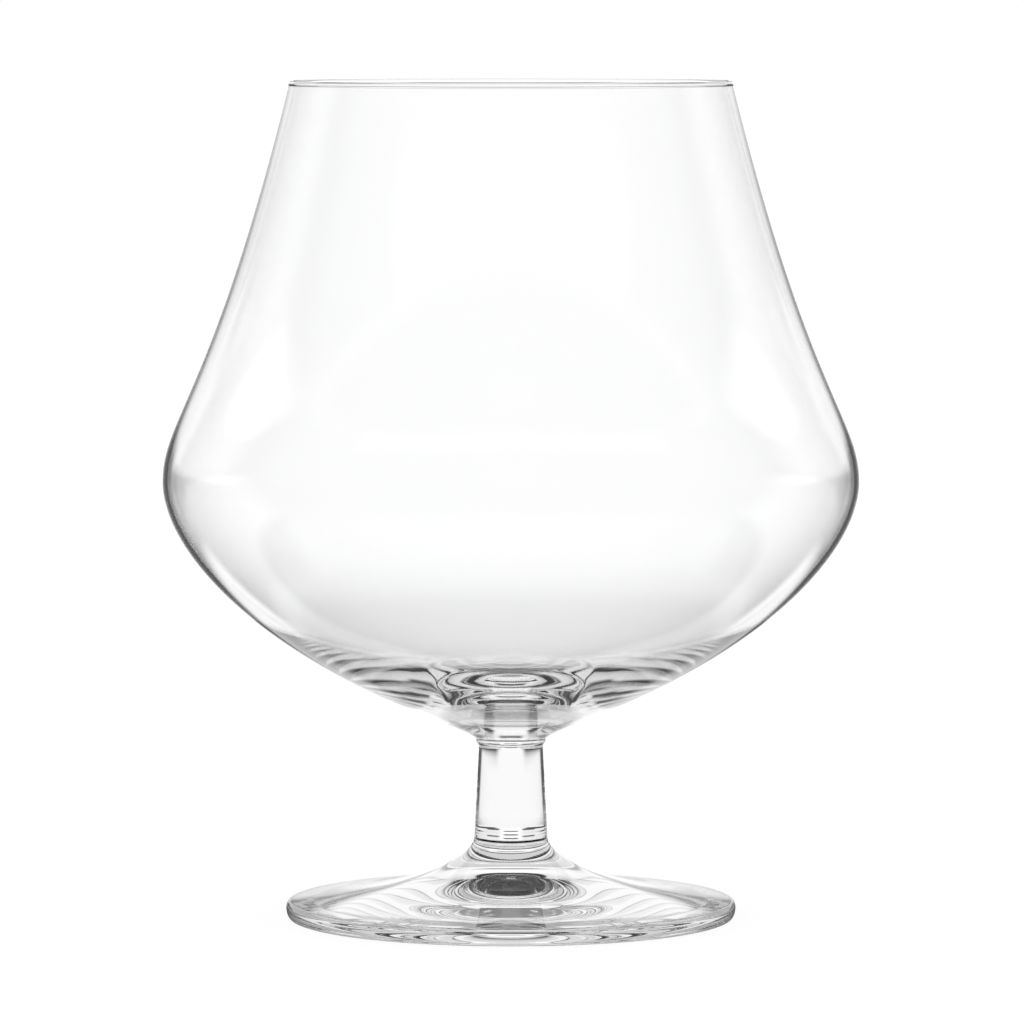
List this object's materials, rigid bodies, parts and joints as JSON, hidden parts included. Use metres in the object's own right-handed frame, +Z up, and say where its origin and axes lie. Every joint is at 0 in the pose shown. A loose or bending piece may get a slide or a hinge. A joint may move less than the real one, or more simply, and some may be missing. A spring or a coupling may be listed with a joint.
{
  "type": "brandy snifter",
  "caption": "Clear brandy snifter with a wide balloon bowl that narrows to the mouth, a short tapered stem and a round flared foot.",
  "frame": {"origin": "centre of the foot, on the surface that the glass stands on", "axes": "+Z up along the axis of the glass; +X and +Y are alike, because the glass is round"},
  "size_m": [0.114, 0.114, 0.137],
  "materials": {
    "bowl_glass": "clear blown glass, fire polished",
    "stem_glass": "clear pressed glass, polished",
    "foot_glass": "clear pressed glass, polished"
  },
  "bodies": {
    "root": {"bowl": "bowl_glass", "stem": "stem_glass", "foot": "foot_glass"}
  },
  "joints": []
}
